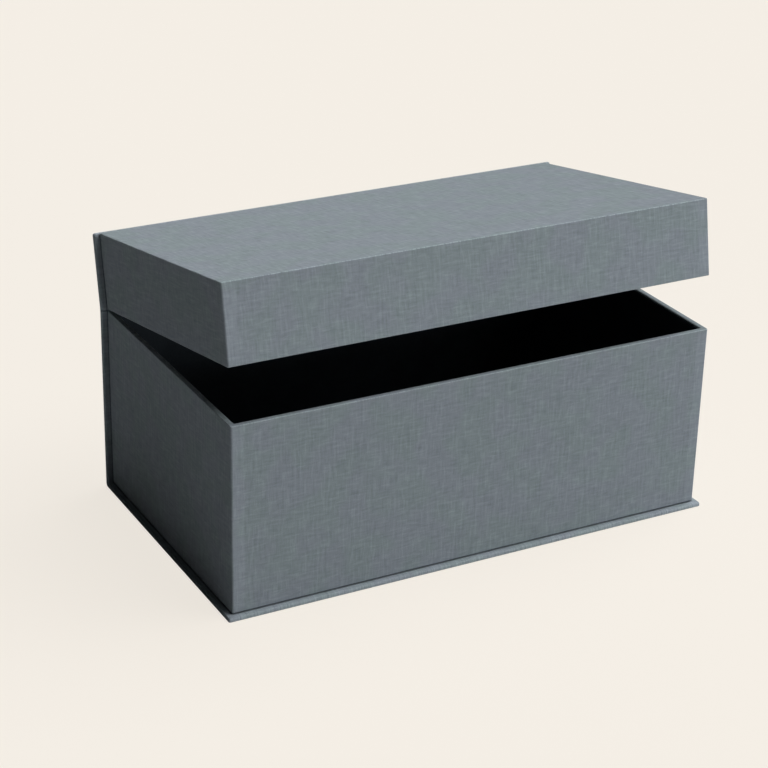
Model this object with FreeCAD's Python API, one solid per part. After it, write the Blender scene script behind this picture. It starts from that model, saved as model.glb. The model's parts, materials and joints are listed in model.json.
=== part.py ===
import FreeCAD, Part
import os

# A hinged gift box of greyboard covered in book cloth, lined with black paper.
# Millimetres. +X to the right, +Y to the back, +Z up. The origin is on the floor, under the
# centre of the tray.

# Driving dimensions
tray_width = 350.0        # outside the cloth, left to right; the lid is as wide
tray_depth = 200.0        # outside the cloth, front to back; the lid is as deep
tray_height = 130.0       # from the underside of the tray to its rim
lid_height = 52.0         # from the rim of the lid to its top
rest_opening = 10.5       # degrees that the lid stands open at rest

# Sheet materials
wall_board = 3.0          # greyboard of the walls, the floor and the top of the lid
case_board = 2.0          # greyboard of the base and of the two back boards
cloth = 0.4               # book cloth
stay = 0.1                # gummed paper at the corners, and the glue film beside it
lining = 0.3              # black lining paper

# Overhangs, turned edges and gaps
square = 4.0              # how far the case boards stand out past the tray
wall_turn_in = 16.0       # cloth turned over a rim and down the inside of the wall
under_turn_in = 15.0      # cloth turned under the walls of the tray
case_turn_in = 15.0       # cloth turned round the edge of a case board
lining_drop = 1.5         # bare turned-in cloth between the rim and the lining
stay_width = 20.0         # gummed paper on each side of a corner
rim_gap = 0.3             # between the two rims when the lid is shut
back_gap = 0.3            # between the two backs when the lid is right over
hinge_bare = 1.15         # bare cloth on each side of the hinge line
hinge_slack = 0.3         # clearance of the bare cloth from the upper back

# Roundings
board_corner = 0.7        # upright corners of the walls
edge_bend = 0.6           # outside of the cloth where it bends over the edge of a board
inside_corner = 0.6       # cloth and lining in an inside corner
case_corner = 1.6         # corners of the case boards, seen flat

# For the cutting and choosing, not a size of the box
past = 1.0                # how far a cutting block runs past what it cuts
tiny = 1e-3               # points nearer than this are the same point

# Worked out from the above
cover = cloth + stay                                 # from the outside face to the board
rim_width = cover + wall_board + cover
case_thick = cloth + case_board + cloth
case_half = tray_width / 2 + square
tray_back = tray_depth / 2
rim_level = case_thick + tray_height
hinge_z = rim_level + rim_gap / 2
hinge_y = tray_back + case_thick + back_gap / 2
lid_rim_level = rim_level + rim_gap
lid_top_level = lid_rim_level + lid_height


def block(x0, x1, y0, y1, z0, z1):
    """A box from its lowest to its highest corner."""
    corner = FreeCAD.Vector(x0, y0, z0)
    return Part.makeBox(x1 - x0, y1 - y0, z1 - z0, corner)


def inset_block(inset, z0, z1):
    """A box as large as the tray seen from above, drawn in by inset on all four sides."""
    half_x = tray_width / 2 - inset
    half_y = tray_depth / 2 - inset
    return block(-half_x, half_x, -half_y, half_y, z0, z1)


def near(a, b):
    return abs(a - b) < tiny


def round_edges(shape, radius, wanted):
    """Rounds the edges whose middle and direction pass the test."""
    chosen = []
    for edge in shape.Edges:
        first = edge.valueAt(edge.FirstParameter)
        last = edge.valueAt(edge.LastParameter)
        middle = (first + last) * 0.5
        if wanted(middle, last - first):
            chosen.append(edge)
    return shape.makeFillet(radius, chosen)


def upright(middle, run):
    return near(run.x, 0) and near(run.y, 0)


def bend_radius():
    """The cloth is drawn thin over the square edge of a board, but never worn through."""
    return min(edge_bend, 2 * cloth)


def corner_radius(inset):
    """Board, stay and cloth share one centre at a corner, so the radius grows outwards."""
    return board_corner + cover - inset


def wall_layer(height, inset):
    """The four walls as one ring, seen as their outside face moved in by inset.

    It stands on z = 0 with its rim at z = height, before the inset.
    """
    solid = round_edges(inset_block(inset, inset, height - inset), corner_radius(inset), upright)
    hollow = inset_block(rim_width - inset, inset - past, height + past)
    hollow = round_edges(hollow, inside_corner + inset, upright)
    return solid.cut(hollow)


def bent_ring(height):
    """The outside of the cloth on the walls, bent over the rim and round the foot."""

    def rim_or_foot(middle, run):
        half_x = tray_width / 2 - rim_width
        half_y = tray_depth / 2 - rim_width
        outside = abs(middle.x) > half_x + tiny or abs(middle.y) > half_y + tiny
        at_foot = near(middle.z, 0) and outside
        return near(run.z, 0) and (near(middle.z, height) or at_foot)

    return round_edges(wall_layer(height, 0), bend_radius(), rim_or_foot)


def cover_cloth(height, closed):
    """Cloth round the walls, over the rim and down the inside.

    A closed cover goes across the panel too. An open one is turned under by a border.
    """
    skin = bent_ring(height).cut(wall_layer(height, cloth))
    below = inset_block(rim_width - cloth, cloth, height - wall_turn_in)
    skin = skin.cut(below)
    sheet = inset_block(rim_width / 2, 0, cloth)
    if not closed:
        sheet = sheet.cut(inset_block(under_turn_in, -past, cloth + past))
    return skin.fuse(sheet).removeSplitter()


def long_wall(height, side):
    """The front or back wall, the full width of the box. side is -1 for the front."""
    outer = side * (tray_depth / 2 - cover)
    inner = side * (tray_depth / 2 - cover - wall_board)
    half = tray_width / 2 - cover
    wall = block(-half, half, min(outer, inner), max(outer, inner), cover, height - cover)

    def outer_corner(middle, run):
        return upright(middle, run) and near(middle.y, outer)

    return round_edges(wall, board_corner, outer_corner)


def short_wall(height, side):
    """The left or right wall, butted between the long ones. side is -1 for the left."""
    outer = side * (tray_width / 2 - cover)
    inner = side * (tray_width / 2 - cover - wall_board)
    half = tray_depth / 2 - cover - wall_board
    return block(min(outer, inner), max(outer, inner), -half, half, cover, height - cover)


def panel_board():
    """The board that closes the tray or the lid, set between its walls."""
    return inset_block(cover + wall_board, cover, cover + wall_board)


def corner_stays(height):
    """Four strips of gummed paper, bent round the corners between board and cloth."""
    foot = cover + wall_board / 2
    head = height - foot
    outside = round_edges(inset_block(cloth, foot, head), corner_radius(cloth), upright)
    inside = inset_block(cover, foot - past, head + past)
    inside = round_edges(inside, corner_radius(cover), upright)
    band = outside.cut(inside)
    half_x = tray_width / 2 - cloth - stay_width
    half_y = tray_depth / 2 - cloth - stay_width
    across = block(-tray_width, tray_width, -half_y, half_y, 0, height)
    along = block(-half_x, half_x, -tray_depth, tray_depth, 0, height)
    return band.cut(across).cut(along)


def wall_lining(height):
    """Black paper round the inside, stepping over the lower edge of the turned-in cloth."""
    foot = cover + wall_board
    step = height - wall_turn_in
    head = height - lining_drop
    board_face = cover + wall_board
    inner_corner = max(inside_corner - lining, inside_corner / 2)

    def column(low_inset, high_inset, start, change, end, radius):
        lower = round_edges(inset_block(low_inset, start, change), radius, upright)
        upper = round_edges(inset_block(high_inset, start, end), radius, upright)
        return lower.fuse(upper)

    outside = column(board_face, rim_width, foot, step, head, inside_corner)
    inside = column(board_face + lining, rim_width + lining, foot - past, step - lining,
                    head + past, inner_corner)
    return outside.cut(inside).removeSplitter()


def panel_lining():
    foot = cover + wall_board
    sheet = inset_block(foot + lining, foot, foot + lining)
    return round_edges(sheet, inside_corner, upright)


def covered_tray(height, closed, names):
    """Every piece of a tray or a lid, standing on its panel with the rim up."""
    boards = [long_wall(height, -1), long_wall(height, 1), short_wall(height, -1),
              short_wall(height, 1), panel_board()]
    papers = [corner_stays(height), cover_cloth(height, closed), wall_lining(height),
              panel_lining()]
    return dict(zip(names, boards + papers))


def slab_layer(length, wrapped, inset):
    """A case board with its cloth, lying on its outside face, moved in by inset.

    It runs from y = 0, where the cloth goes on to the next board, to y = length, where the
    cloth is either turned round the end or goes on as well.
    """
    half = case_half - inset
    start = 0 if inset == 0 else -past
    end = length
    if inset > 0:
        end = length - inset if wrapped else length + past
    slab = block(-half, half, start, end, inset, case_thick - inset)

    def end_corner(middle, run):
        return upright(middle, run) and near(middle.y, end)

    if wrapped:
        slab = round_edges(slab, case_corner + cloth - inset, end_corner)
    return slab


def slab_board(length, wrapped):
    """The bare board inside a slab, cut square at each end that the cloth runs past."""
    end = length - cloth if wrapped else length
    keep = block(-case_half, case_half, 0, end, 0, case_thick)
    return slab_layer(length, wrapped, cloth).common(keep)


def slab_cloth(length, wrapped):
    """Cloth over the outside of a slab, turned in along its edges."""

    def turned_edge(middle, run):
        if near(middle.y, 0) or (near(middle.y, length) and not wrapped):
            return False
        return near(run.z, 0)

    outside = round_edges(slab_layer(length, wrapped, 0), bend_radius(), turned_edge)
    skin = outside.cut(slab_layer(length, wrapped, cloth))
    half = case_half - case_turn_in
    end = length - case_turn_in if wrapped else length + past
    bare = block(-half, half, -past, end, case_thick / 2, case_thick + past)
    return skin.cut(bare)


def round_joint():
    """Cloth that turns up from the underside to the back, with its ends folded in."""
    x_axis = FreeCAD.Vector(1, 0, 0)

    def quarter(half, radius):
        corner = FreeCAD.Vector(-half, tray_back, case_thick)
        turned = Part.makeCylinder(radius, 2 * half, corner, x_axis)
        low_back = block(-half, half, tray_back, tray_back + radius, case_thick - radius,
                         case_thick)
        return turned.common(low_back)

    outside = quarter(case_half, case_thick)
    inside = quarter(case_half - cloth, case_thick - cloth)
    return outside.cut(inside)


def lay_as_base(slab):
    """Turns a slab to lie under the tray, with its open end at the back of the tray."""
    placed = slab.copy()
    placed.rotate(FreeCAD.Vector(0, 0, 0), FreeCAD.Vector(0, 0, 1), 180)
    placed.translate(FreeCAD.Vector(0, tray_back, 0))
    return placed


def stand_as_back(slab, foot):
    """Turns a slab to stand behind the tray on z = foot, with its outside face to the back."""
    placed = slab.copy()
    placed.rotate(FreeCAD.Vector(0, 0, 0), FreeCAD.Vector(1, 0, 0), 90)
    placed.translate(FreeCAD.Vector(0, tray_back + case_thick, foot))
    return placed


def bare_hinge():
    """The strip of cloth between the two back boards, upright from the lower one."""
    face = tray_back + case_thick
    foot = hinge_z - hinge_bare
    head = hinge_z + hinge_bare - hinge_slack
    return block(-case_half, case_half, face - cloth, face, foot, head)


def open_lid(shape):
    """Swings a piece of the shut lid up about the hinge line to where it rests."""
    placed = shape.copy()
    pivot = FreeCAD.Vector(0, hinge_y, hinge_z)
    placed.rotate(pivot, FreeCAD.Vector(-1, 0, 0), rest_opening)
    return placed


def tray_pieces():
    names = ["tray_front_board", "tray_back_board", "tray_left_board", "tray_right_board",
             "tray_floor_board", "tray_corner_stays", "tray_cover_cloth",
             "tray_wall_lining", "tray_floor_lining"]
    pieces = covered_tray(tray_height, False, names)
    for piece in pieces.values():
        piece.translate(FreeCAD.Vector(0, 0, case_thick))
    return pieces


def lid_pieces():
    """The lid is a second, shallow tray, turned over about the X axis: its front wall was
    the back one."""
    names = ["lid_back_board", "lid_front_board", "lid_left_board", "lid_right_board",
             "lid_top_board", "lid_corner_stays", "lid_cover_cloth", "lid_wall_lining",
             "lid_top_lining"]
    pieces = covered_tray(lid_height, True, names)
    for piece in pieces.values():
        piece.rotate(FreeCAD.Vector(0, 0, 0), FreeCAD.Vector(1, 0, 0), 180)
        piece.translate(FreeCAD.Vector(0, 0, lid_top_level))
    return pieces


def case_pieces():
    """The three boards that the tray and the lid are glued to. They hold them together."""
    base_length = tray_depth + square
    lower_foot = case_thick
    lower_length = hinge_z - hinge_bare - lower_foot
    fixed = {
        "base_board": lay_as_base(slab_board(base_length, True)),
        "base_cloth": lay_as_base(slab_cloth(base_length, True)).fuse(round_joint()),
        "lower_back_board": stand_as_back(slab_board(lower_length, False), lower_foot),
        "lower_back_cloth": stand_as_back(slab_cloth(lower_length, False), lower_foot),
        "hinge_cloth": bare_hinge(),
    }
    upper_foot = hinge_z + hinge_bare
    upper_length = lid_top_level - upper_foot
    swinging = {
        "upper_back_board": stand_as_back(slab_board(upper_length, True), upper_foot),
        "upper_back_cloth": stand_as_back(slab_cloth(upper_length, True), upper_foot),
    }
    return fixed, swinging


def main():
    pieces = tray_pieces()
    fixed, swinging = case_pieces()
    swinging.update(lid_pieces())
    pieces.update(fixed)
    for name, shape in swinging.items():
        pieces[name] = open_lid(shape)
    os.makedirs("parts", exist_ok=True)
    for name, shape in pieces.items():
        shape.exportStep("parts/" + name + ".step")
        print(name, "solids", len(shape.Solids), "volume", round(shape.Volume, 2))


main()
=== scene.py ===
import json
import math

import bmesh
import bpy
import numpy as np
from mathutils import Matrix, Vector

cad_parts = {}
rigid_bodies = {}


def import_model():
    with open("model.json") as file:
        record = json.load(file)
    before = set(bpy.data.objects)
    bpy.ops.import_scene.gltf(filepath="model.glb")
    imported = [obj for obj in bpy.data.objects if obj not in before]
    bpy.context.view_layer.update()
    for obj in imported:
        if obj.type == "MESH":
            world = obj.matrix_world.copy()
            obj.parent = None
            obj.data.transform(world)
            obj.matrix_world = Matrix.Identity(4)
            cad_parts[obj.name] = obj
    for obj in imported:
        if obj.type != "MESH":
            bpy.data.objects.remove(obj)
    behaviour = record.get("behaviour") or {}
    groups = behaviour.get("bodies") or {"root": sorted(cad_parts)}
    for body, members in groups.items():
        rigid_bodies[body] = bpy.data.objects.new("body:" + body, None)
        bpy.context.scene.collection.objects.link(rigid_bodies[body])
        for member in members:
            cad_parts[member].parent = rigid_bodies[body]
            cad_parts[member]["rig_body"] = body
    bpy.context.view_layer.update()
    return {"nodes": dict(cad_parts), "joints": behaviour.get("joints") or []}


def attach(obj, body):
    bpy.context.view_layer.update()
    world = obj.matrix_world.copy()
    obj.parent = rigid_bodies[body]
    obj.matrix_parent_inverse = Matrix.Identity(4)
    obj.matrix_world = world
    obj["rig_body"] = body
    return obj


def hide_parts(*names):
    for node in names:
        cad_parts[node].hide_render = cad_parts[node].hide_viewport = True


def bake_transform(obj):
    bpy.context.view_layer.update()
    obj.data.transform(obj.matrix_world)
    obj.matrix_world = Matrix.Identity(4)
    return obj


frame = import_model()
print("frame loaded:", len(frame["nodes"]), "nodes")

# Sizes in the dictionaries are in millimetres and angles in degrees. +X is right, +Y is back.
millimetre = 0.001
tiny = 1e-6             # lengths that differ by less are the same
lidJoint = frame["joints"][0]
hingeLine = np.array(lidJoint["pos_m"]) / millimetre
restOpening = -math.radians(lidJoint["range_deg"][0])


# The lid's swing about the hinge line: y and z turn by the angle, x stays.
def swing(x, y, z, angle):
    fromY = y - hingeLine[1]
    fromZ = z - hingeLine[2]
    turnedY = hingeLine[1] + fromY * np.cos(angle) + fromZ * np.sin(angle)
    turnedZ = hingeLine[2] - fromY * np.sin(angle) + fromZ * np.cos(angle)
    return x, turnedY, turnedZ


# Lowest and highest corner of a CAD node, with the lid shut if the node is on the lid.
def nodeCorners(name):
    node = frame["nodes"][name]
    points = np.zeros(len(node.data.vertices) * 3)
    node.data.vertices.foreach_get("co", points)
    x, y, z = points.reshape(-1, 3).T / millimetre
    if node["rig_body"] == "lid":
        x, y, z = swing(x, y, z, -restOpening)
    places = np.stack([x, y, z])
    return places.min(1), places.max(1)


trayLow, trayHigh = nodeCorners("tray_cover_cloth")
lidLow, lidHigh = nodeCorners("lid_cover_cloth")
baseLow, baseHigh = nodeCorners("base_cloth")
lowerBackHigh = nodeCorners("lower_back_cloth")[1]
upperBackLow, upperBackHigh = nodeCorners("upper_back_cloth")

clothValues = {
    "thickness": 0.4,
    "bend": 0.6,            # outside radius where the cloth goes over the edge of a board
    "bendSteps": 6,
    "cornerSteps": 8,       # even, so that a corner is shared by two sides
    "spacing": 6.0,         # between stations along a straight side
    "hiddenSpacing": 5.0,   # under a board
    "insideSpacing": 3.0,   # down the inside of a wall
    "edgeSpacing": 0.9,     # near the edge of a panel
    "rimSpacing": 0.7,
    "besideBend": 0.15,     # a station this near to a bend keeps the flat beside it flat
    "besideShare": 0.15,    # there is none where it would take more of the line than this
    "panelEdge": 5.0,       # where the rings round a panel end and its own grid begins
    "lapWidth": 8.4,        # flap of the end walls' cloth, under the cloth of the long walls
    "lapRise": 0.06,
    "lapRamp": 1.4,
    "lapFacing": 0.75,      # it has gone where the sine of the wall's angle is down to this,
    "lapEnds": (0.6, 2.6),  # and it fades between these distances from the foot and the rim
    "lapSteps": 5,
    "merge": 0.002,         # points nearer than this become one
    "sharpAngle": 32.0,     # faces that meet at more than this aren't shaded as one
}


# From 0 to 1 as the share runs, level at both ends.
def eased(share):
    return share * share * (3 - 2 * share)


# Stations round a rounded rectangle. Each is the centre of a corner circle and an outward angle:
# along a side the centre moves and the angle stays, and at a corner the angle turns.
def ringPath(halfX, halfY, corner, alongX, alongY, steps):
    centreX = halfX - corner
    centreY = halfY - corner
    gap = clothValues["besideBend"]
    endsX = [-centreX, gap - centreX, centreX - gap, centreX]
    endsY = [-centreY, gap - centreY, centreY - gap, centreY]
    runX = np.unique(np.clip(np.concatenate([alongX, endsX]), -centreX, centreX))
    runY = np.unique(np.clip(np.concatenate([alongY, endsY]), -centreY, centreY))
    turn = np.linspace(0, math.pi / 2, steps + 1)[1:-1]
    half = steps // 2
    x, y, angle, side = [], [], [], []
    runs = [(runX, -centreY), (centreX, runY), (runX[::-1], centreY), (-centreX, runY[::-1])]
    corners = [(centreX, -centreY), (centreX, centreY), (-centreX, centreY), (-centreX, -centreY)]
    for number in range(4):
        sideX, sideY = runs[number]
        cornerX, cornerY = corners[number]
        count = max(np.size(sideX), np.size(sideY))
        start = (number - 1) * math.pi / 2
        x += [np.broadcast_to(sideX, count), np.full(steps - 1, cornerX)]
        y += [np.broadcast_to(sideY, count), np.full(steps - 1, cornerY)]
        angle += [np.full(count, start), start + turn]
        side += [np.full(count - 1 + half, number), np.full(steps - half, (number + 1) % 4)]
    return {"halfX": halfX, "halfY": halfY, "x": np.concatenate(x), "y": np.concatenate(y),
            "angle": np.concatenate(angle), "side": np.concatenate(side)}


# Rings of a profile round the path: a station's centre is held inside the rectangle drawn in by
# the inset and the corner radius, and the radius is added along the outward angle.
def ringPlaces(path, inset, radius):
    d = inset[:, None]
    r = radius[:, None]
    limitX = path["halfX"] - d - r
    limitY = path["halfY"] - d - r
    x = np.clip(path["x"][None, :], -limitX, limitX) + r * np.cos(path["angle"])[None, :]
    y = np.clip(path["y"][None, :], -limitY, limitY) + r * np.sin(path["angle"])[None, :]
    return x, y


# A quarter of an ellipse in the profile, from one direction to the next, without its first point.
def quarter(centreInset, centreHeight, across, up, start, end):
    angle = np.radians(np.linspace(start, end, clothValues["bendSteps"] + 1)[1:])
    return np.stack([centreInset + across * np.cos(angle), centreHeight + up * np.sin(angle)], 1)


# Even points of the profile from one point to another, without the first, and one close to each
# end if the line is long.
def straight(start, end, spacing):
    length = math.hypot(end[0] - start[0], end[1] - start[1])
    share = np.linspace(0, 1, max(1, int(round(length / spacing))) + 1)[1:]
    gap = clothValues["besideBend"] / length
    if gap < clothValues["besideShare"]:
        share = np.unique(np.concatenate([share, [gap, 1 - gap]]))
    return np.array(start) + share[:, None] * (np.array(end) - np.array(start))


# Corner numbers of the quads of a grid, row by row, and each quad's row and column. A closed grid
# joins its last column to its first.
def gridQuads(rows, columns, closed):
    across = np.arange(columns if closed else columns - 1)
    i, j = np.meshgrid(np.arange(rows - 1), across, indexing="ij")
    nextJ = (j + 1) % columns
    quads = np.stack([i * columns + j, i * columns + nextJ, (i + 1) * columns + nextJ,
                      (i + 1) * columns + j], -1)
    return quads.reshape(-1, 4), i.ravel(), j.ravel()


# Distance run along a profile.
def profileRun(profile):
    return np.concatenate([[0], np.cumsum(np.hypot(*np.diff(profile, axis=0).T))])


# One mesh from several grids: places, quads, thread coordinates at each quad's corners, and the
# share of wear and painted light, and of lap, at each point. Points that meet are merged, and the
# cloth gets its thickness inwards.
def clothObject(name, grids, inwards):
    places = np.concatenate([grid["places"].reshape(-1, 3) for grid in grids])
    counts = [grid["lap"].size for grid in grids]
    starts = np.concatenate([[0], np.cumsum(counts)[:-1]])
    quads = np.concatenate([grid["quads"] + start for grid, start in zip(grids, starts)])
    thread = np.concatenate([grid["thread"] for grid in grids])
    if inwards:
        quads = quads[:, ::-1]
        thread = thread[:, ::-1]
    mesh = bpy.data.meshes.new(name)
    mesh.from_pydata((places * millimetre).tolist(), [], quads.tolist())
    layer = mesh.uv_layers.new(name="thread")
    layer.uv.foreach_set("vector", thread.reshape(-1).astype(np.float32))
    for key in ("worn", "lap"):
        values = np.concatenate([grid[key].ravel() for grid in grids])
        attribute = mesh.attributes.new(key, "FLOAT", "POINT")
        attribute.data.foreach_set("value", values.astype(np.float32))
    build = bmesh.new()
    build.from_mesh(mesh)
    nearest = clothValues["merge"] * millimetre
    bmesh.ops.remove_doubles(build, verts=build.verts, dist=nearest)
    bmesh.ops.dissolve_degenerate(build, edges=build.edges, dist=nearest)
    build.to_mesh(mesh)
    build.free()
    piece = bpy.data.objects.new(name, mesh)
    bpy.context.scene.collection.objects.link(piece)
    solid = piece.modifiers.new("thickness", "SOLIDIFY")
    solid.thickness = clothValues["thickness"] * millimetre
    solid.offset = -1
    evaluated = piece.evaluated_get(bpy.context.evaluated_depsgraph_get())
    finished = bpy.data.meshes.new_from_object(evaluated)
    piece.modifiers.clear()
    piece.data = finished
    bpy.data.meshes.remove(mesh)
    finished.name = name
    finished.shade_smooth()
    finished.set_sharp_from_angle(angle=math.radians(clothValues["sharpAngle"]))
    print(name, "faces", len(finished.polygons))
    return piece


# Threads laid flat: each side of the ring is folded out from the panel. Along the front and back
# the first coordinate is x, and the distance run down the profile carries on from the panel.
def foldedThreads(path, x, y, run, quads, columns, edgeX, edgeY):
    side = path["side"][columns][:, None]
    px = x.ravel()[quads]
    py = y.ravel()[quads]
    out = np.repeat(run, x.shape[1])[quads]
    first = np.choose(side, [px, edgeX + out, px, -edgeX - out])
    second = np.choose(side, [-edgeY - out, py, edgeY + out, py])
    return np.stack([first, second], -1)


# The flat grid inside the rings. Its lines run between the stations of opposite sides.
def flatPanel(path, limitX, limitY):
    gridX = np.unique(np.clip(path["x"], -limitX, limitX))
    gridY = np.unique(np.clip(path["y"], -limitY, limitY))
    x, y = np.meshgrid(gridX, gridY)
    quads = gridQuads(len(gridY), len(gridX), False)[0]
    thread = np.stack([x.ravel()[quads], y.ravel()[quads]], -1)
    none = np.zeros(x.shape)
    return {"x": x, "y": y, "quads": quads[:, ::-1], "thread": thread[:, ::-1], "worn": none,
            "lap": none}


# Raised band beside each upright corner of the front and back, where a flap lies underneath.
# It steps up over a ramp and fades out towards the foot and the rim.
def lapShare(x, angle, halfX, rise, height):
    v = clothValues
    ramp = np.clip((v["lapWidth"] - halfX + np.abs(x)) / v["lapRamp"] + 0.5, 0, 1)
    facing = np.interp(np.abs(np.sin(angle)), [v["lapFacing"], 1], [0, 1])
    ends = np.interp(np.minimum(rise, height - rise), v["lapEnds"], [0, 1])
    return eased(ramp) * facing * ends[:, None]


# Even stations along a side, and closer ones across the edge of a lap.
def sideStations(half, lapped):
    v = clothValues
    even = np.linspace(-half, half, int(round(2 * half / v["spacing"])) + 1)
    if not lapped:
        return even
    ramp = half - v["lapWidth"] + v["lapRamp"] * np.linspace(-0.5, 0.5, v["lapSteps"])
    return np.concatenate([even, ramp, -ramp])


wallValues = {
    "cornerRadius": 1.2,    # upright outside corner of a wall's cloth
    "insideRadius": 0.6,    # upright inside corner
    "rimWidth": 4.0,
    "rimTurnIn": 16.0,
    "underTurnIn": 15.0,
    "footAcross": 2.2,      # the foot is drawn in round the lower edge of the walls
    "footUp": 1.3,
    "footWear": -1.8,       # painted shade darkens the seam with the base
    "rimWear": -0.6,        # painted shade dulls the top of a rim,
    "innerWear": -1.2,      # and its inner edge more,
    "innerFade": 3.0,       # and fades to a share of that on the cloth below it
    "innerLeft": 0.5,
    "innerAcross": 1.1,     # the inner edge of a rim is rounder than the outer one
    "innerDown": 1.1,
}


# Cloth on four walls, from a first stretch of profile, up or down the outside, over the rim and
# down the inside, carried round the walls. Heights run from the panel's face to the rim.
def wallRings(start, footUp, footWear, halfX, halfY, height):
    v = clothValues
    w = wallValues
    bend = v["bend"]
    rim = w["rimWidth"]
    inner = rim - w["innerAcross"]
    lip = height - w["innerDown"]
    shoulder = height - bend
    footAcross = start[-1][0]
    profile = np.concatenate([
        start,
        quarter(footAcross, footUp, footAcross, footUp, 270, 180),
        straight((0, footUp), (0, shoulder), v["spacing"]),
        quarter(bend, shoulder, bend, bend, 180, 90),
        straight((bend, height), (inner, height), v["rimSpacing"]),
        quarter(inner, lip, w["innerAcross"], w["innerDown"], 90, 0),
        straight((rim, lip), (rim, height - w["rimTurnIn"]), v["insideSpacing"]),
    ])
    inset, rise = profile.T
    corner = w["cornerRadius"]
    overRim = np.interp(inset, [0, bend, inner, rim],
                        [corner, corner - bend, w["insideRadius"] + rim - inner, w["insideRadius"]])
    radius = np.where(rise > height / 2, overRim, np.maximum(corner - inset, 0))
    radius = np.where(inset == rim, w["insideRadius"], radius)
    radius[:len(start)] = np.maximum(corner - inset[:len(start)], 0)
    path = ringPath(halfX, halfY, corner, sideStations(halfX, True), sideStations(halfY, False),
                    v["cornerSteps"])
    x, y = ringPlaces(path, inset, radius)
    outside = ((inset < tiny) & (rise <= shoulder + tiny)).astype(float)[:, None]
    lap = lapShare(x, path["angle"][None, :], halfX, rise, height) * outside
    y = y + np.sign(y) * v["lapRise"] * lap
    # Wear and a painted highlight make the outer bend of a rim, and of the lid's top edge, paler.
    rimArris = (rise > shoulder + tiny) & (inset < bend / 2)
    footArris = (rise < bend - tiny) & (footUp == bend)
    onBend = (inset > tiny) & (inset < bend - tiny)
    worn = (onBend & (rimArris | footArris)).astype(float)
    # Painted shade darkens the top of a rim, and its inner edge more, fading down the cloth inside
    # it.
    inwards = np.interp(inset, [bend / 2, bend, rim], [0, w["rimWear"], w["innerWear"]])
    inwards = inwards * (rise > height / 2)
    worn += inwards * np.interp(rise, [lip - w["innerFade"], lip], [w["innerLeft"], 1])
    # Painted shade darkens the foot where it meets the base.
    worn += np.interp(rise, [0, footUp / 2, footUp], [footWear, footWear, 0])
    worn = np.broadcast_to(worn[:, None], x.shape)
    return path, x, y, np.broadcast_to(rise[:, None], x.shape), profileRun(profile), worn, lap


# Cloth of the tray: under the foot, up the walls, over the rim and down inside. The threads run
# round the walls and up them.
def trayCloth():
    w = wallValues
    under = (w["underTurnIn"], 0)
    foot = (w["footAcross"], 0)
    start = np.concatenate([[under], straight(under, foot, clothValues["hiddenSpacing"])])
    height = trayHigh[2] - trayLow[2]
    _, x, y, rise, run, worn, lap = wallRings(start, w["footUp"], w["footWear"], trayHigh[0],
                                              trayHigh[1], height)
    quads, rows, columns = gridQuads(x.shape[0], x.shape[1], True)
    middle = np.argmax(rise[:, 0] > height / 2)
    stepX = np.diff(x[middle], append=x[middle, 0])
    stepY = np.diff(y[middle], append=y[middle, 0])
    around = np.concatenate([[0], np.cumsum(np.hypot(stepX, stepY))])
    first = np.stack([around[columns], around[columns + 1]], 1)[:, [0, 1, 1, 0]]
    second = np.stack([run[rows], run[rows + 1]], 1)[:, [0, 0, 1, 1]]
    grid = {"places": np.stack([x, y, trayLow[2] + rise], -1), "quads": quads,
            "thread": np.stack([first, second], -1), "worn": worn, "lap": lap}
    return clothObject("trayCoverCloth", [grid], False)


# Cloth of the lid, one sheet over the top and down the four sides, turned in over the rim. Rings
# round the edge of the top meet a flat grid. It is worked out shut and then swung open.
def lidCloth():
    v = clothValues
    edge = v["panelEdge"]
    bend = v["bend"]
    halfX, halfY = lidHigh[0], lidHigh[1]
    start = np.concatenate([[[edge, 0]], straight((edge, 0), (bend, 0), v["edgeSpacing"])])
    height = lidHigh[2] - lidLow[2]
    path, x, y, rise, run, worn, lap = wallRings(start, bend, 0, halfX, halfY, height)
    quads, _, columns = gridQuads(x.shape[0], x.shape[1], True)
    thread = foldedThreads(path, x, y, run, quads, columns, halfX - edge, halfY - edge)
    places = swing(x, y, lidHigh[2] - rise, restOpening)
    ring = {"places": np.stack(places, -1), "quads": quads, "thread": thread, "worn": worn,
            "lap": lap}
    panel = flatPanel(path, halfX - edge, halfY - edge)
    top = np.full(panel["x"].shape, lidHigh[2])
    panel["places"] = np.stack(swing(panel["x"], panel["y"], top, restOpening), -1)
    return clothObject("lidCoverCloth", [ring, panel], True)


caseValues = {
    "cornerRadius": 1.4,    # corners of the boards with their cloth, seen flat
    "turnIn": 15.0,
    "thick": 2.8,           # board and cloth on both sides
    "upSpacing": 0.5,       # between stations up the edge of a board
    "noseAcross": 1.15,     # the cloth is drawn round the inner edge of a case board,
    "noseUp": 1.6,
    "heel": 0.35,           # and sharply round its outer edge
    "edgeWear": 0.85,       # wear and painted highlight along the edge, painted highlight between it and the walls
    "faceWear": 0.35,
    "seamWear": -1.5,       # how dark the painted shade is in the seam with the walls
    "seamWidth": 0.5,
    "seamFade": 1.5,        # the dark fades out over this, under the walls
    "bareThick": 0.86,      # two layers of cloth, where there is no board
    "bareCover": 0.2,       # the cloth covers the end of a board before it sinks
    "bareRamp": 0.45,
    "crease": 0.14,         # it sinks a little between the boards, and painted shade darkens it there
    "creaseWear": -1.3,
    "jointSteps": 12,
    "bareSteps": 16,
}


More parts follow.
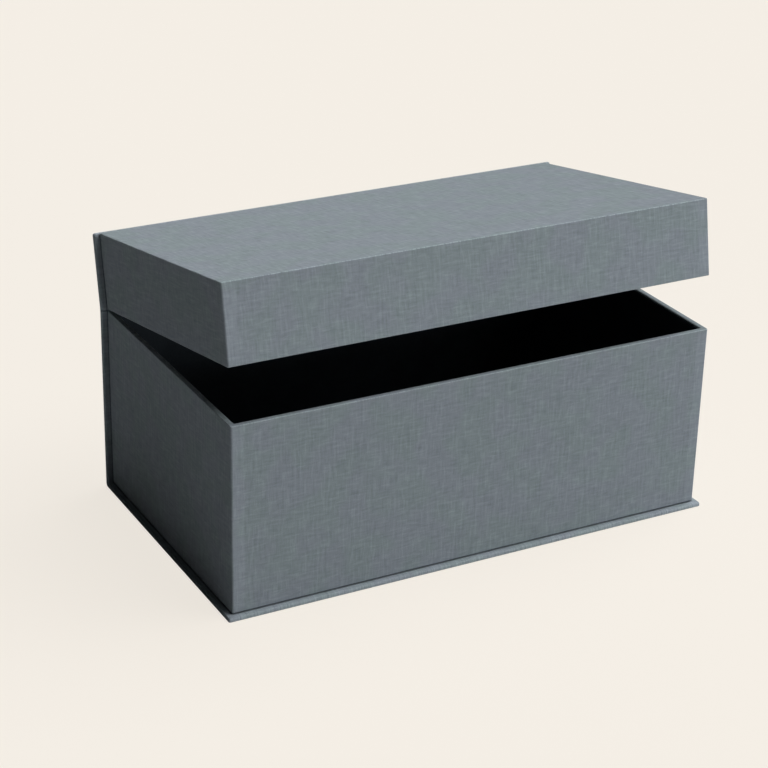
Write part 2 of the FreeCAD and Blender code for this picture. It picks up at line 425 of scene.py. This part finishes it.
# Cloth of the case, one sheet from the front of the base board to the top of the upper back. A
# flat sheet with its edges wrapped (x, distance q from the front, depth w below its face) is bent
# along a path: q runs along the underside, round the joint, up the back and over the hinge.
def caseCloth():
    v = clothValues
    c = caseValues
    thick = c["thick"]
    nose = c["noseAcross"]
    level = thick - c["noseUp"]
    heel = c["heel"]
    edge = v["panelEdge"]
    trayBack = trayHigh[1]
    underside = trayBack - baseLow[1]
    joint = thick * math.pi / 2
    lowerEnd = underside + joint + lowerBackHigh[2] - thick
    upperStart = underside + joint + upperBackLow[2] - thick
    length = underside + joint + upperBackHigh[2] - thick
    halfX, halfY = baseHigh[0], length / 2
    square = baseHigh[0] - trayHigh[0]
    hidden = square + c["seamFade"]
    start = np.concatenate([[[edge, 0]], straight((edge, 0), (heel, 0), v["edgeSpacing"])])
    turnIn = (c["turnIn"], thick)
    profile = np.concatenate([
        start,
        quarter(heel, heel, heel, heel, 270, 180),
        straight((0, heel), (0, level), c["upSpacing"]),
        quarter(nose, level, nose, c["noseUp"], 180, 90),
        [(square - c["seamWidth"], thick), (square, thick), (hidden, thick)],
        straight((hidden, thick), turnIn, v["hiddenSpacing"]),
    ])
    inset, depth = profile.T
    radius = np.maximum(c["cornerRadius"] - inset, 0)
    inJoint = np.linspace(underside, underside + joint, c["jointSteps"] + 1)
    inBare = np.linspace(lowerEnd, upperStart, c["bareSteps"] + 1)
    gap = v["besideBend"]
    beside = np.array([inJoint[0] - gap, inJoint[-1] + gap, inBare[0] - gap, inBare[-1] + gap])
    alongY = np.concatenate([sideStations(halfY, False), inJoint - halfY, inBare - halfY,
                             beside - halfY])
    path = ringPath(halfX, halfY, c["cornerRadius"], sideStations(halfX, False), alongY,
                    v["cornerSteps"])
    x, y = ringPlaces(path, inset, radius)

    # Share of the way from one board's end to the other's, and how deep in the crease between them.
    def overBare(q):
        share = np.clip((q - lowerEnd) / (upperStart - lowerEnd), 0, 1)
        return share, np.sin(math.pi * share) ** 2

    # Place of a point of the flat sheet: it runs back to the joint, where its angle is what it has
    # run over the thickness, and then up. From one board to the other it swings open with the lid.
    def onPath(x, q, w):
        share, sunk = overBare(q)
        intoBare = np.minimum(q - lowerEnd, upperStart - q) - c["bareCover"]
        board = 1 - np.clip(intoBare / c["bareRamp"], 0, 1)
        thin = c["bareThick"] / thick
        w = w * (thin + (1 - thin) * board) + c["crease"] * sunk
        turn = np.clip((q - underside) / thick, 0, math.pi / 2)
        along = np.clip(q - underside, None, 0)
        up = np.clip(q - underside - joint, 0, None)
        placeY = trayBack + along + (thick - w) * np.sin(turn)
        placeZ = thick - (thick - w) * np.cos(turn) + up
        return np.stack(swing(x, placeY, placeZ, restOpening * eased(share)), -1)

    quads, _, columns = gridQuads(x.shape[0], x.shape[1], True)
    run = profileRun(profile)
    thread = foldedThreads(path, x, y, run, quads, columns, halfX - edge, halfY - edge)
    w = np.broadcast_to(depth[:, None], x.shape)
    # Wear and a painted highlight make the case's edge and margin paler. Painted shade darkens the
    # seam with the walls and the crease between the boards.
    wear = np.interp(depth, [0, heel, level], [0, c["edgeWear"], c["edgeWear"]])
    facing = np.interp(inset, [0, nose, square - c["seamWidth"], square, hidden],
                       [c["edgeWear"], c["faceWear"], c["faceWear"], c["seamWear"], 0])
    wear = np.where(depth > level, facing, wear)
    outside = (depth < tiny)[:, None]
    worn = wear[:, None] + c["creaseWear"] * overBare(y + halfY)[1] * outside
    ring = {"places": onPath(x, y + halfY, w), "quads": quads, "thread": thread, "worn": worn,
            "lap": np.zeros(x.shape)}
    panel = flatPanel(path, halfX - edge, halfY - edge)
    # Painted shade darkens the crease between the boards.
    panel["worn"] = c["creaseWear"] * overBare(panel["y"] + halfY)[1]
    panel["places"] = onPath(panel["x"], panel["y"] + halfY, np.zeros(panel["x"].shape))
    piece = clothObject("caseCloth", [ring, panel], False)
    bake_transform(piece)
    return piece


print("making the cloth of the tray, the lid and the case")
trayCover = trayCloth()
lidCover = lidCloth()
caseCover = caseCloth()
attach(trayCover, "base")
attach(lidCover, "lid")
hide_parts("tray_cover_cloth")
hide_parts("lid_cover_cloth")
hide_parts("base_cloth", "lower_back_cloth", "hinge_cloth", "upper_back_cloth")


# Adds a node, sets its options and fills its inputs with values or with other nodes' outputs.
def addNode(tree, kind, inputs, **options):
    made = tree.nodes.new(kind)
    for key, value in options.items():
        setattr(made, key, value)
    for key, value in inputs.items():
        if isinstance(value, bpy.types.NodeSocket):
            tree.links.new(value, made.inputs[key])
        else:
            made.inputs[key].default_value = value
    return made


# A step of arithmetic on values or on other nodes' outputs.
def calc(tree, operation, *values):
    return addNode(tree, "ShaderNodeMath", dict(enumerate(values)), operation=operation).outputs[0]


seedSlope = 1.7


# Noise drawn out along a thread, from -0.5 to 0.5: its cells are so many millimetres across and
# along. It is moved by the seed one way, and by the slope times the seed the other.
def stretchedNoise(tree, vector, across, along, seed, detail=1.0):
    scaled = addNode(tree, "ShaderNodeVectorMath", {0: vector, 1: (1 / across, 1 / along, 1)},
                     operation="MULTIPLY").outputs[0]
    moved = addNode(tree, "ShaderNodeVectorMath", {0: scaled, 1: (seed, seed * seedSlope, 0)},
                    operation="ADD").outputs[0]
    noise = addNode(tree, "ShaderNodeTexNoise", {"Vector": moved, "Scale": 1.0, "Detail": detail},
                    noise_dimensions="2D")
    return calc(tree, "SUBTRACT", noise.outputs[0], 0.5)


# A group with named inputs that gives a colour and a height.
def newGroup(name, inputs):
    group = bpy.data.node_groups.new(name, "ShaderNodeTree")
    for socketName, kind in inputs:
        group.interface.new_socket(socketName, in_out="INPUT", socket_type=kind)
    for socketName, kind in (("Colour", "NodeSocketColor"), ("Height", "NodeSocketFloat")):
        group.interface.new_socket(socketName, in_out="OUTPUT", socket_type=kind)
    source = group.nodes.new("NodeGroupInput").outputs
    result = group.nodes.new("NodeGroupOutput").inputs
    return group, source, result


clothLook = {
    "colour": (0.253, 0.299, 0.316),    # where it leans to green
    "tint": (0.260, 0.294, 0.328),      # where it leans to violet
    "roughness": 0.9,
    "specular": 0.03,
    "thread": 0.52,         # pitch of the weave
    "wander": 1.2,          # a thread strays by this times the noise, over so many millimetres
    "wanderLength": 15.0,
    "toneAcross": 0.37,     # in threads, so that each one has its own tone,
    "warpTone": 21.0,       # which changes along it over so many millimetres
    "weftTone": 15.0,
    "threadAmount": 0.08,
    "slubUp": (1.8, 16.0),  # cells of the thick threads, side to side and up
    "slubAcross": (11.2, 1.8),
    "paleUp": (0.07, 0.20),         # levels of the noise between which a slub turns pale
    "paleAcross": (0.08, 0.21),
    "darkUp": (-0.08, -0.22),       # and a gap turns dark
    "darkAcross": (-0.07, -0.20),
    "slubLight": 0.085,
    "slubDark": 0.06,
    "grainUp": (1.1, 6.0),
    "grainAcross": (6.0, 1.1),
    "grainAmount": 0.13,
    "mottle": 26.0,
    "mottleDetail": 3.0,
    "mottleAmount": 0.07,
    "tintLevels": (-0.14, 0.14),    # of the noise, from the first dye to the second
    "weaveMean": 0.64,
    "weaveAmount": 0.02,
    "weaveHeight": 0.06,
    "wornAmount": 0.28,
    "wornDots": 4.0,        # the pale wear and painted highlight follow the tone of the threads
    "lapAmount": 0.08,
    "lapTint": 0.15,
    "relief": 0.00024,      # metres of height for 1 in the group's height
    "bump": 1.0,
}
clothSeeds = {"strayX": 40.2, "strayY": 57.9, "warp": 3.1, "weft": 8.7, "slubUp": 1.3,
              "slubAcross": 5.9, "grainUp": 17.2, "grainAcross": 23.8, "mottle": 12.4, "dye": 31.0}


# Book cloth. Threads stray a little. Slubs run up and across: where a drawn-out noise is high a
# thread is thick and pale, and where it is low there is a dark gap. Each thread has its own tone
# along its length, and the weave is a chequer of arches over and under. Tones add up and multiply
# the colour, which drifts between two dyes.
def makeClothGroup():
    look = clothLook
    seeds = clothSeeds
    group, source, result = newGroup(
        "bookClothWeave",
        [("Thread", "NodeSocketVector"), ("Worn", "NodeSocketFloat"), ("Lap", "NodeSocketFloat"),
         ("Colour", "NodeSocketColor"), ("Tint", "NodeSocketColor")])

    # A value times an amount.
    def weighted(value, amount):
        return calc(group, "MULTIPLY", value, amount)

    # The sum of all the values.
    def total(*values):
        added = values[0]
        for value in values[1:]:
            added = calc(group, "ADD", added, value)
        return added

    # A coordinate of the threads, with what the thread strays there.
    def strayed(coordinate, seed):
        length = look["wanderLength"]
        stray = stretchedNoise(group, source["Thread"], length, length, seed)
        return total(coordinate, weighted(stray, look["wander"]))

    # Noise for slubs or grain, with the cells and the seed of that name.
    def ownNoise(name):
        return stretchedNoise(group, vector, *look[name], seeds[name])

    # Runs smoothly from 0 to 1 between two levels of the noise.
    def above(noise, low, high):
        return addNode(group, "ShaderNodeMapRange", {0: noise, 1: low, 2: high},
                       interpolation_type="SMOOTHSTEP").outputs[0]

    parts = addNode(group, "ShaderNodeSeparateXYZ", {0: source["Thread"]}).outputs
    x = strayed(parts[0], seeds["strayX"])
    y = strayed(parts[1], seeds["strayY"])
    vector = addNode(group, "ShaderNodeCombineXYZ", {0: x, 1: y}).outputs[0]
    u = calc(group, "DIVIDE", x, look["thread"])
    v = calc(group, "DIVIDE", y, look["thread"])
    warpNumber = calc(group, "FLOOR", u)
    weftNumber = calc(group, "FLOOR", v)
    warp = addNode(group, "ShaderNodeCombineXYZ", {0: warpNumber, 1: y}).outputs[0]
    weft = addNode(group, "ShaderNodeCombineXYZ", {0: weftNumber, 1: x}).outputs[0]
    warpTone = stretchedNoise(group, warp, look["toneAcross"], look["warpTone"], seeds["warp"])
    weftTone = stretchedNoise(group, weft, look["toneAcross"], look["weftTone"], seeds["weft"])
    slubUp = ownNoise("slubUp")
    slubAcross = ownNoise("slubAcross")
    light = total(above(slubUp, *look["paleUp"]), above(slubAcross, *look["paleAcross"]))
    dark = total(above(slubUp, *look["darkUp"]), above(slubAcross, *look["darkAcross"]))
    slubs = total(weighted(light, look["slubLight"]), weighted(dark, -look["slubDark"]))
    grain = weighted(total(ownNoise("grainUp"), ownNoise("grainAcross")), look["grainAmount"])
    threads = weighted(total(warpTone, weftTone), look["threadAmount"])
    fine = total(slubs, grain, threads)

    archU = calc(group, "ABSOLUTE", calc(group, "SINE", weighted(u, math.pi)))
    archV = calc(group, "ABSOLUTE", calc(group, "SINE", weighted(v, math.pi)))
    chequer = calc(group, "FLOORED_MODULO", total(warpNumber, weftNumber), 2.0)
    weave = addNode(group, "ShaderNodeMix", {0: chequer, 2: archU, 3: archV}).outputs[0]
    size = look["mottle"]
    mottle = stretchedNoise(group, vector, size, size, seeds["mottle"], look["mottleDetail"])
    flat = total(weighted(mottle, look["mottleAmount"]),
                 weighted(calc(group, "SUBTRACT", weave, look["weaveMean"]), look["weaveAmount"]))
    # Above 0 the value paints wear and highlight, following the threads' tone. Below 0 it paints
    # shade.
    dots = total(weighted(warpTone, look["wornDots"]), 1.0)
    pale = calc(group, "MULTIPLY", calc(group, "MAXIMUM", source["Worn"], 0.0), dots)
    shade = calc(group, "MINIMUM", source["Worn"], 0.0)
    worn = weighted(total(pale, shade), look["wornAmount"])
    raised = weighted(source["Lap"], look["lapAmount"])
    factor = total(fine, flat, worn, raised, 1.0)

    hue = total(stretchedNoise(group, vector, size, size, seeds["dye"]),
                weighted(source["Lap"], look["lapTint"]))
    share = above(hue, *look["tintLevels"])
    dyed = addNode(group, "ShaderNodeMix", {0: share, 6: source["Colour"], 7: source["Tint"]},
                   data_type="RGBA").outputs[2]
    shaded = addNode(group, "ShaderNodeVectorMath", {0: dyed, 3: factor},
                     operation="SCALE").outputs[0]
    group.links.new(shaded, result["Colour"])
    group.links.new(total(weighted(weave, look["weaveHeight"]), fine), result["Height"])
    return group


# A material with the colour of a group, and its height as a bump.
def makeMaterial(name, nodeGroup, look, relief):
    material = bpy.data.materials.new(name)
    material.use_nodes = True
    tree = material.node_tree
    group = tree.nodes.new("ShaderNodeGroup")
    group.node_tree = nodeGroup
    group.inputs["Colour"].default_value = look["colour"] + (1,)
    shader = tree.nodes["Principled BSDF"]
    tree.links.new(group.outputs["Colour"], shader.inputs["Base Color"])
    bump = addNode(tree, "ShaderNodeBump", {"Height": group.outputs["Height"], "Distance": relief,
                                            "Strength": look["bump"]})
    tree.links.new(bump.outputs[0], shader.inputs["Normal"])
    shader.inputs["Roughness"].default_value = look["roughness"]
    shader.inputs["Specular IOR Level"].default_value = look["specular"]
    return material, tree, group


# Book cloth on the threads, the wear and the laps of the mesh.
def makeCloth(name):
    look = clothLook
    material, tree, group = makeMaterial(name, clothGroup, look, look["relief"])
    uvMap = addNode(tree, "ShaderNodeUVMap", {}, uv_map="thread")
    tree.links.new(uvMap.outputs[0], group.inputs["Thread"])
    for key in ("Worn", "Lap"):
        attribute = addNode(tree, "ShaderNodeAttribute", {}, attribute_name=key.lower())
        tree.links.new(attribute.outputs["Fac"], group.inputs[key])
    group.inputs["Tint"].default_value = look["tint"] + (1,)
    return material


grainLook = {
    "fine": 900.0,          # cells to a metre
    "fineDetail": 3.0,
    "broad": 60.0,
    "broadDetail": 2.0,
    "relief": 0.0002,       # metres of height for 1 in the group's height
}
paperLook = {               # the amount is how much the grain shows in the colour
    "blackPaper": {"colour": (0.041, 0.051, 0.062), "amount": 0.5, "bump": 0.2,
                   "roughness": 0.75, "specular": 0.1},
    "greyboard": {"colour": (0.26, 0.25, 0.23), "amount": 0.5, "bump": 0.4,
                  "roughness": 0.95, "specular": 0.1},
    "dyedBoard": {"colour": (0.115, 0.135, 0.145), "amount": 0.4, "bump": 0.4,
                  "roughness": 0.95, "specular": 0.1},
    "gummedPaper": {"colour": (0.42, 0.30, 0.17), "amount": 0.3, "bump": 0.2,
                    "roughness": 0.7, "specular": 0.2},
}


# Paper and board: a fine noise and a broader one add up and multiply the colour. The fine one is
# also the height.
def makePaperGroup():
    look = grainLook
    group, source, result = newGroup(
        "paperGrain", [("Colour", "NodeSocketColor"), ("Amount", "NodeSocketFloat")])
    place = addNode(group, "ShaderNodeTexCoord", {}).outputs["Object"]
    fine, broad = [
        addNode(group, "ShaderNodeTexNoise", {"Vector": place, "Scale": look[size],
                                              "Detail": look[size + "Detail"]}).outputs[0]
        for size in ("fine", "broad")]
    both = calc(group, "ADD", calc(group, "SUBTRACT", fine, 0.5),
                calc(group, "SUBTRACT", broad, 0.5))
    factor = calc(group, "ADD", calc(group, "MULTIPLY", both, source["Amount"]), 1.0)
    shaded = addNode(group, "ShaderNodeVectorMath", {0: source["Colour"], 3: factor},
                     operation="SCALE").outputs[0]
    group.links.new(shaded, result["Colour"])
    group.links.new(fine, result["Height"])
    return group


# Paper or board with the values under its name.
def makePaper(name):
    look = paperLook[name]
    material, _, group = makeMaterial(name, paperGroup, look, grainLook["relief"])
    group.inputs["Amount"].default_value = look["amount"]
    return material


print("making the materials")
clothGroup = makeClothGroup()
paperGroup = makePaperGroup()
clothMaterial = makeCloth("bookCloth")
paperMaterials = {name: makePaper(name) for name in paperLook}

for piece in (trayCover, lidCover, caseCover):
    piece.data.materials.clear()
    piece.data.materials.append(clothMaterial)

# Material and slot of a CAD node, by the last word of its name.
nodeLooks = {"lining": (paperMaterials["blackPaper"], "lining_paper"),
             "board": (paperMaterials["greyboard"], "greyboard"),
             "stays": (paperMaterials["gummedPaper"], "gummed_paper"),
             "cloth": (clothMaterial, "book_cloth")}
caseBoards = ("base_board", "lower_back_board", "upper_back_board")
for name, node in frame["nodes"].items():
    material, slotName = nodeLooks[name.split("_")[-1]]
    if name in caseBoards:
        material = paperMaterials["dyedBoard"]
    node.data.materials.clear()
    node.data.materials.append(material)

backdropLook = {
    "cream": (0.913, 0.863, 0.791, 1),
    "bounce": (0.42, 0.42, 0.42, 1),
    "sky": (1.0, 1.0, 1.0, 1),
    "skyStrength": 0.01,
    "shadowShare": 0.12,
    "floorSize": 9000.0,
    "floorGap": 0.05,
}


# 1 for the camera's own rays and for those seen in a reflection or through glass.
def seenRay(tree):
    path = addNode(tree, "ShaderNodeLightPath", {}).outputs
    shiny = calc(tree, "MAXIMUM", path["Is Glossy Ray"], path["Is Transmission Ray"])
    return calc(tree, "MAXIMUM", path["Is Camera Ray"], shiny)


# The sky is cream where it is seen, and otherwise gives a little white light.
def makeWorld():
    look = backdropLook
    world = bpy.data.worlds.new("paleRoom")
    bpy.context.scene.world = world
    world.use_nodes = True
    tree = world.node_tree
    tree.nodes.clear()
    sky = addNode(tree, "ShaderNodeBackground", {0: look["sky"], 1: look["skyStrength"]})
    cream = addNode(tree, "ShaderNodeBackground", {0: look["cream"], 1: 1.0})
    both = addNode(tree, "ShaderNodeMixShader", {0: seenRay(tree), 1: sky.outputs[0],
                                                 2: cream.outputs[0]})
    addNode(tree, "ShaderNodeOutputWorld", {0: both.outputs[0]})


# A pale floor that keeps a soft shadow of the box, and throws less light back at it than it shows.
def makeFloor():
    look = backdropLook
    half = look["floorSize"] / 2 * millimetre
    low = -look["floorGap"] * millimetre
    mesh = bpy.data.meshes.new("floor")
    mesh.from_pydata([(-half, -half, low), (half, -half, low), (half, half, low),
                      (-half, half, low)], [], [(0, 1, 2, 3)])
    floor = bpy.data.objects.new("floor", mesh)
    bpy.context.scene.collection.objects.link(floor)
    material = bpy.data.materials.new("floorPaint")
    material.use_nodes = True
    tree = material.node_tree
    tree.nodes.clear()
    lit = addNode(tree, "ShaderNodeBsdfDiffuse", {0: look["cream"]})
    plain = addNode(tree, "ShaderNodeEmission", {0: look["cream"], 1: 1.0})
    dull = addNode(tree, "ShaderNodeBsdfDiffuse", {0: look["bounce"]})
    pale = addNode(tree, "ShaderNodeMixShader", {0: look["shadowShare"], 1: plain.outputs[0],
                                                 2: lit.outputs[0]})
    both = addNode(tree, "ShaderNodeMixShader", {0: seenRay(tree), 1: dull.outputs[0],
                                                 2: pale.outputs[0]})
    addNode(tree, "ShaderNodeOutputMaterial", {0: both.outputs[0]})
    mesh.materials.append(material)


# A sun has the way towards it, a width in degrees and watts to the square metre. The panel has a
# place, a width in millimetres and watts.
lightValues = {
    "suns": [("keySun", (0.56, -0.085, 0.82), 62.0, 3.32),
             ("frontSun", (0.22, -0.97, 0.12), 24.0, 0.66),
             ("backSun", (0.36, 0.92, 0.10), 36.0, 0.75)],
    "panel": ("nearPanel", (500.0, -450.0, 250.0), 300.0, 0.40),
    "panelAim": (0.0, 0.0, 100.0),
}


# A lamp shines against the way back to it.
def placeLamp(data, back, place):
    lamp = bpy.data.objects.new(data.name, data)
    lamp.rotation_euler = Vector(back).to_track_quat("Z", "Y").to_euler()
    lamp.location = Vector(place) * millimetre
    bpy.context.scene.collection.objects.link(lamp)


# A wide soft sun from the right and above, weak low suns in front and behind, and a small low
# panel at the right front.
def makeLights():
    look = lightValues
    for name, back, width, strength in look["suns"]:
        sun = bpy.data.lights.new(name, "SUN")
        sun.energy = strength
        sun.angle = math.radians(width)
        placeLamp(sun, back, (0, 0, 0))
    name, place, size, power = look["panel"]
    panel = bpy.data.lights.new(name, "AREA")
    panel.energy = power
    panel.shape = "DISK"
    panel.size = size * millimetre
    placeLamp(panel, Vector(place) - Vector(look["panelAim"]), place)


cameraValues = {
    "place": (-652.492, -1160.170, 694.343),
    "azimuth": -28.7366,
    "elevation": 24.6030,
    "roll": 1.3743,
    "lens": 100.939,
    "sensor": 36.0,
    "clipEnd": 50000.0,
}


# The camera looks along its azimuth and elevation, and is then rolled about its line of sight.
def makeCamera():
    c = cameraValues
    azimuth = math.radians(c["azimuth"])
    elevation = math.radians(c["elevation"])
    roll = math.radians(c["roll"])
    sight = Vector((-math.sin(azimuth) * math.cos(elevation),
                    math.cos(azimuth) * math.cos(elevation), -math.sin(elevation)))
    level = Vector((math.cos(azimuth), math.sin(azimuth), 0))
    upright = level.cross(sight)
    right = level * math.cos(roll) + upright * math.sin(roll)
    up = right.cross(sight)
    data = bpy.data.cameras.new("photoCamera")
    data.sensor_width = c["sensor"]
    data.lens = c["lens"]
    data.clip_end = c["clipEnd"] * millimetre
    camera = bpy.data.objects.new("photoCamera", data)
    turned = Matrix((right, up, -sight)).transposed().to_4x4()
    camera.matrix_world = Matrix.Translation(Vector(c["place"]) * millimetre) @ turned
    bpy.context.scene.collection.objects.link(camera)
    bpy.context.scene.camera = camera


print("making the world, the floor, the lamps and the camera")
makeWorld()
makeFloor()
makeLights()
makeCamera()
bpy.context.scene.view_settings.view_transform = "Standard"
